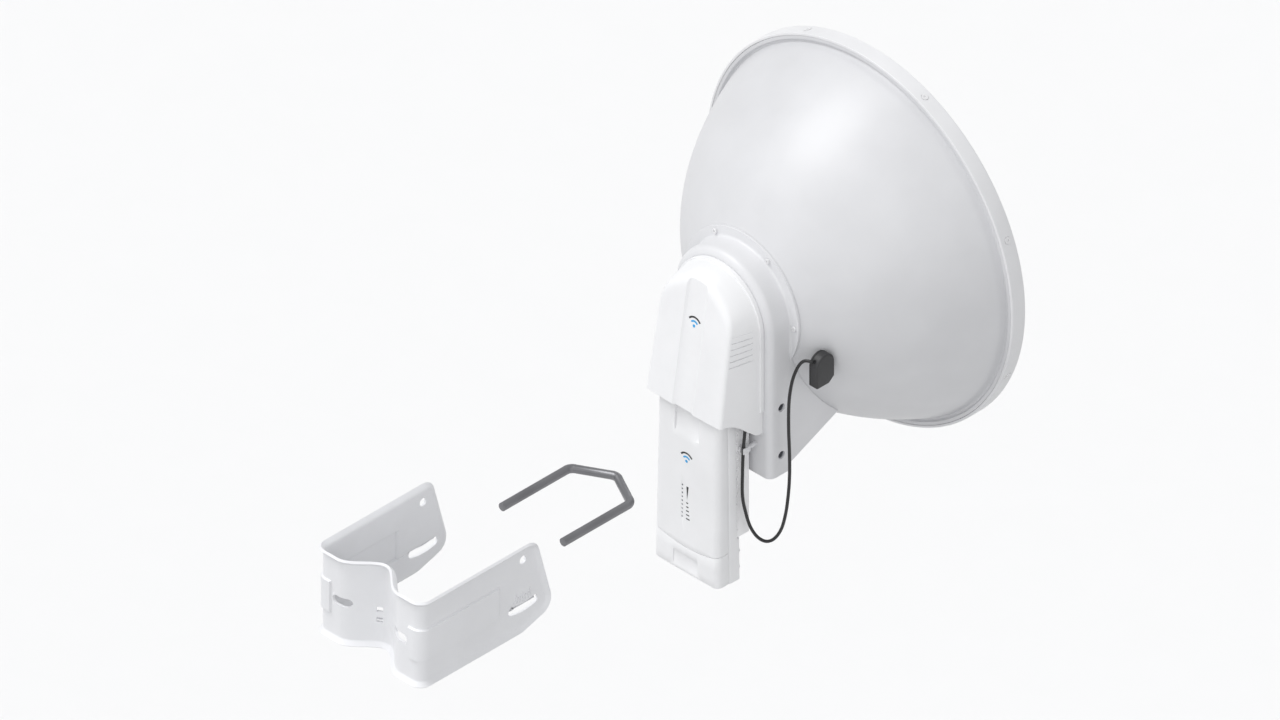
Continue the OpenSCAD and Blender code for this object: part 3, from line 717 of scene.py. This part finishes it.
sheet = 2.5
valley = 23
lobe_x = 38
arm_out = 62.9
bend_r = 9
bracket_low, bracket_top = -42.6, 45.4
arm_corners = ((106, bracket_top - 14, 14), (120.4, -21.6, 14), (95, bracket_low + 25, 25))
pivot_y, pivot_z = 103.3, 31.3
pivot_hole_r = 4.2
hole_spacing = 50.5
curved_slot_half_arc, curved_slot_half_w = 15.8, 4.4
web_slot_x, web_slot_length, web_slot_width = 35.8, 20, 9
flare, flare_reach = 3.6, 4.2
panel_half_h, panel_end, panel_x, panel_rise = 16.5, 73, 48, 2.0


def web_line():
    """Outer face of half the bracket, from the web's middle to the arm's end, at even small steps."""
    line = []
    step = 0.5
    x = 0.0
    while x < arm_out - bend_r:
        y = -valley + (valley * (1 + math.cos(math.pi * x / lobe_x)) / 2 if x < lobe_x else 0)
        line.append(Vector((x, y)))
        x += step
    line += [Vector(p) for p in arc(arm_out - bend_r, -valley + bend_r, bend_r, -90, 0, 30)]
    line.append(Vector((arm_out, 160)))
    return line


half_line = web_line()
lengths = [0.0]
for a, b in zip(half_line, half_line[1:]):
    lengths.append(lengths[-1] + (b - a).length)
arm_start = lengths[-2]


def along_web(x):
    """Distance along the sheet at which the web reaches a distance from the middle."""
    for i in range(1, len(half_line)):
        if half_line[i].x >= x:
            share = (x - half_line[i - 1].x) / max(1e-9, half_line[i].x - half_line[i - 1].x)
            return lengths[i - 1] + (lengths[i] - lengths[i - 1]) * share
    return lengths[-1]


def along_arm(y):
    return arm_start + y - (-valley + bend_r)


def sheet_place(s):
    """Place and outward direction on the sheet's outer face, for a distance along half of it."""
    for i in range(1, len(lengths)):
        if lengths[i] >= s or i == len(lengths) - 1:
            share = (s - lengths[i - 1]) / (lengths[i] - lengths[i - 1])
            place = half_line[i - 1] + (half_line[i] - half_line[i - 1]) * share
            before = half_line[max(i - 2, 0)] if i > 1 else Vector((-half_line[1].x, half_line[1].y))
            ahead = half_line[min(i + 1, len(half_line) - 1)]
            way = (ahead - before).normalized()
            if s > arm_start:
                way = Vector((0, 1))
            return place, Vector((way.y, -way.x))


def ramp(value):
    t = min(1.0, max(0.0, value))
    return t * t * (3 - 2 * t)


def edge_distance(p, outline):
    best = 1e9
    for a, b in zip(outline, outline[1:] + outline[:1]):
        d = b - a
        t = min(1.0, max(0.0, (p - a).dot(d) / d.length_squared))
        best = min(best, (p - a - d * t).length)
    return best


def bracket_outline():
    """Flat outline of the sheet: both arms with slanted fronts and large lower corners."""
    corners = [(along_arm(cy), cz) for y, z, r in arm_corners for cy, cz in arc(y, z, r, -90, 90, 36)]
    points = [Vector((side * s, z)) for s, z in corners + [(0, bracket_top), (0, bracket_low)]
              for side in (-1, 1)]
    return [points[i] for i in convex_hull_2d(points)]


def slot_outline(cx, cy, length, width):
    reach = (length - width) / 2
    return arc(cx + reach, cy, width / 2, -90, 90, 12) + arc(cx - reach, cy, width / 2, 90, 270, 12)


def bracket_holes():
    """Outlines of all holes on the flat sheet."""
    holes = []
    half_arc, half_w = curved_slot_half_arc, curved_slot_half_w
    for side in (-1, 1):
        pivot = along_arm(pivot_y)
        holes.append([(side * s, z) for s, z in disc(pivot, pivot_z, pivot_hole_r)])
        end = [arc(pivot + hole_spacing * math.sin(math.radians(a)),
                   pivot_z - hole_spacing * math.cos(math.radians(a)), half_w,
                   a - 90 + turn, a + 90 + turn, 10)
               for a, turn in ((half_arc, 0), (-half_arc, 180))]
        upper = arc(pivot, pivot_z, hole_spacing - half_w, -90 + half_arc, -90 - half_arc, 12)[1:-1]
        lower = arc(pivot, pivot_z, hole_spacing + half_w, -90 - half_arc, -90 + half_arc, 12)[1:-1]
        holes.append([(side * s, z) for s, z in end[0] + upper + end[1] + lower])
        web_slot = slot_outline(web_slot_x, 0, web_slot_length, web_slot_width)
        holes.append([(side * along_web(x), z) for x, z in web_slot])
    # Two small square holes, on the left half only.
    for z in (-15.5, -4.5):
        holes.append([(-along_web(8 + dx), z + dz)
                      for dx, dz in ((-2.5, -2.5), (2.5, -2.5), (2.5, 2.5), (-2.5, 2.5))])
    return holes


def flat_sheet(outline, holes):
    """A filled flat mesh of an outline with holes."""
    curve = bpy.data.curves.new("sheet", "CURVE")
    curve.dimensions = "2D"
    curve.fill_mode = "BOTH"
    for points in [[tuple(p) for p in outline]] + holes:
        spline = curve.splines.new("POLY")
        spline.points.add(len(points) - 1)
        for point, place in zip(spline.points, points):
            point.co = (*place, 0, 1)
        spline.use_cyclic_u = True
    holder = bpy.data.objects.new("sheet", curve)
    bpy.context.scene.collection.objects.link(holder)
    mesh = bpy.data.meshes.new_from_object(holder)
    bpy.data.objects.remove(holder)
    return mesh


def divide(shape, place, normal):
    geometry = shape.verts[:] + shape.edges[:] + shape.faces[:]
    bmesh.ops.bisect_plane(shape, geom=geometry, dist=0.0001, plane_co=place, plane_no=normal)


def bracket_cuts():
    """Where the flat sheet is divided so that it can bend: distances along it, and heights."""
    web = [i * 2.0 for i in range(int(along_web(arm_out - bend_r - 0.5) / 2) + 1)]
    start = along_web(panel_x)
    web += [start - 0.3, start, start + 0.3]
    bend = [arm_start - bend_r * math.pi / 2 * i / 10 for i in range(11)]
    arm = [along_arm(y) for y in list(range(-6, 68, 6)) + [68, 69, 70] + [71 + 0.5 * i for i in range(9)]
           + list(range(78, 100, 3)) + list(range(100, 140))]
    lengthways = sorted(set(round(s, 3) for s in web + bend + arm))
    rim = [0.5 * i for i in range(1, 11)] + [6, 8]
    heights = [bracket_top - d for d in rim] + [bracket_low + d for d in rim]
    heights += [sign * (panel_half_h - 0.8 + 0.2 * i) for i in range(9) for sign in (-1, 1)]
    heights += [*range(-34, -18, 3), *range(19, 38, 3), -12, -8, -3, 3, 8, 12]
    return lengthways, sorted(set(round(z, 3) for z in heights))


def make_bracket():
    """Cuts the flat sheet, bends it to the web and the arms, lifts its rim and panels, and thickens it."""
    outline = bracket_outline()
    mesh = flat_sheet(outline, bracket_holes())
    shape = bmesh.new()
    shape.from_mesh(mesh)
    bmesh.ops.remove_doubles(shape, verts=shape.verts, dist=0.001)
    bmesh.ops.dissolve_limit(shape, angle_limit=0.01, verts=shape.verts, edges=shape.edges)
    lengthways, heights = bracket_cuts()
    for s in lengthways:
        for sign in ((-1, 1) if s else (1,)):
            divide(shape, (sign * s, 0, 0), (1, 0, 0))
    for z in heights:
        divide(shape, (0, z, 0), (0, 1, 0))
    start = along_web(panel_x)
    end = along_arm(panel_end)
    for vert in shape.verts:
        s, z = abs(vert.co.x), vert.co.y
        side = -1 if vert.co.x < 0 else 1
        place, out = sheet_place(s)
        distance = edge_distance(Vector((vert.co.x, z)), outline) if s > along_arm(95) \
            else min(bracket_top - z, z - bracket_low)
        lift = flare * max(0.0, 1 - distance / flare_reach) ** 1.15
        lift += panel_rise * ramp((panel_half_h + 0.6 - abs(z)) / 1.2) * ramp((s - start + 0.3) / 0.6) \
            * ramp((end + 1 - s) / 2)
        spot = place + out * lift
        vert.co = Vector((side * spot.x, spot.y, z)) * MM
    bmesh.ops.recalc_face_normals(shape, faces=shape.faces)
    highest = max(shape.faces, key=lambda f: f.calc_center_median().x)
    if highest.normal.x < 0:
        bmesh.ops.reverse_faces(shape, faces=shape.faces)
    shape.to_mesh(mesh)
    shape.free()
    made = bpy.data.objects.new("pole_bracket_sheet", mesh)
    bpy.context.scene.collection.objects.link(made)
    thick = made.modifiers.new("sheet", "SOLIDIFY")
    thick.thickness = sheet * MM
    thick.offset = -1
    apply_modifiers(made)
    bevel(made, 0.45, 60, 3)
    finish_piece(made, "bracket_paint", "bracket", 40, ("pole_bracket",))


def make_angle_marks():
    """Seven raised marks over each curved slot, 4.6 degrees apart; every third is longer."""
    outer, half = 43.5, 0.6
    for side, name in ((1, "angle_marks_right"), (-1, "angle_marks_left")):
        marks = []
        for i in range(-3, 4):
            a = math.radians(i * 4.6)
            inner = 34.5 if i % 3 == 0 else 37.5
            ring = [(pivot_y + r * math.sin(a) + t * math.cos(a),
                     pivot_z - r * math.cos(a) + t * math.sin(a))
                    for r, t in ((inner, -half), (inner, half), (outer, half), (outer, -half))]
            marks.append(loft([[(side * x * MM, y * MM, z * MM) for y, z in ring]
                               for x in (arm_out - 0.2, arm_out + 0.8)]))
        piece(name, *gather(marks), "bracket_paint", "bracket", scaled=False)


make_bracket()
make_angle_marks()


# ---- Generic signs: a dot with arcs above it, and the lamps' marks ----

def raised_strip(outline, lay, height=0.12, sunk=0.2):
    """A thin raised shape; lay gives the surface's place for a point of the outline."""
    return loft([[(x, lay(x, z) + lift, z) for x, z in outline] for lift in (sunk, -height)])


def signal_sign(name, cx, cz, lay, body):
    """A dot and two arcs over it, about 11 mm high."""
    half = 0.85
    dot = [(cx + x, cz + z) for x, z in disc(0, -4, 1.5)]
    piece(name + "_dot", *raised_strip(dot, lay), "print_blue", body)
    for i, (r, slot) in enumerate(((4.6, "print_blue"), (8.4, "print_black"))):
        outer = arc(0, -4, r + half, 38, 142, 20)
        inner = arc(0, -4, r - half, 142, 38, 20)
        band = [(cx + x, cz + z) for x, z in outer + inner]
        piece(f"{name}_arc_{i + 1}", *raised_strip(band, lay), slot, body)


def strip_floor(x, z):
    return cover_face(strip_half, z) + strip_depth


def radio_rear(x, z):
    return radio_back(z) + radio_crown * (x / 32) ** 2


def make_lamp_marks():
    """A long wedge beside the upper lamps, and a dash beside each lower one."""
    left, half = 0.4, 0.6
    outlines = [[(left, lamp_top + half), (left + 2.6, lamp_top + half),
                 (left + 0.9, lamp_top - 3.2 * lamp_pitch)]]
    for i in range(4, lamp_count):
        z = lamp_top - i * lamp_pitch
        end = left + 2.2 + (i - 4) * 0.5
        outlines.append([(left, z - half), (end, z - half), (end, z + half), (left, z + half)])
    marks = gather(raised_strip(outline, radio_rear, 0.08) for outline in outlines)
    piece("lamp_marks", *marks, "print_black", "antenna")


signal_sign("cover_sign", 0, 4, strip_floor, "rear_cover")
signal_sign("radio_sign", 0, -136, radio_rear, "antenna")
make_lamp_marks()


# ---- Receiver: an arched block on a thin base, its lower front corner cut ----

def receiver_outline(grow=0.0):
    y0, y1, z0, z1, r = -165, -143, -49, -17, 11
    points = arc(y0 + r, z1 - r, r + grow, 0, 180, 40)
    points += arc(y0 + 2, z0 + 2, 2 + grow, 180, 270, 6)
    points += [(y1 - 7, z0 - grow)] + arc(y1 - 2, z0 + 6.5, 2 + grow, -50, 0, 6)
    return points


def make_receiver():
    inner_x, outer_x, round_r = 88.4, 96, 1.6
    rings = [[(inner_x, y, z) for y, z in receiver_outline()]]
    for i in range(6):
        a = math.radians(90 * i / 5)
        rings.append([(outer_x - round_r + round_r * math.sin(a), y, z)
                      for y, z in receiver_outline(-round_r * (1 - math.cos(a)))])
    made = solid("receiver_case", *loft(rings))
    cut(made, prism(disc(91, -21.5, 1.7), 1, -168, -162))
    finish_piece(made, "receiver_plastic", "antenna", 35, ("gps_housing",))
    base = solid("receiver_base", *prism(receiver_outline(), 0, 86, 88.1))
    bevel(base, 0.5, 50, 3)
    finish_piece(base, "pad_rubber", "antenna", 35, ("gps_base",))


make_receiver()


# ---- Pieces that keep the CAD's shape, with their edges broken ----

finishes = {
    "v_bolt": ("zinc_steel", 0.7, "v_bolt"),
    "pivot_inserts": ("insert_steel", 0.3, "tilt_pivots"),
    "tilt_inserts": ("insert_steel", 0.3, "antenna"),
    "hub_frame": ("frame_plastic", 0.45, "antenna"),
    "rim_screws": ("screw_steel", 0.15, "antenna"),
    "hub_screws": ("screw_steel", 0.15, "antenna"),
    "radio_back_shell": ("radio_plastic", 0.5, "antenna"),
    "heat_sink": ("sink_aluminium", 0.25, "antenna"),
    "light_pipes": ("lamp_plastic", 0.12, "antenna"),
    "case_screws": ("screw_steel", 0.2, "antenna"),
    "cable_clip": ("frame_plastic", 0.4, "antenna"),
    "gps_plug": ("connector_brass", 0.25, "antenna"),
    "gps_pad": ("pad_rubber", 0.6, "antenna"),
    "data_port": ("socket_plastic", 0.3, "antenna"),
    "power_port": ("socket_plastic", 0.3, "antenna"),
}
for name, (slot, width, body) in finishes.items():
    refined(name, slot, width, body=body)
# The remaining nodes keep their CAD shape and get the finer material of the same name.
replaced = set(finishes) | {"gps_cable", "gps_housing", "gps_base", "reflector_shell", "front_radome",
                            "rear_cover", "radio_front_shell", "port_cap", "pole_bracket"}
for name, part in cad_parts.items():
    if name not in replaced:
        slot = part.material_slots[0]
        slot.material = materials[slot.material.name.split(".")[0]]
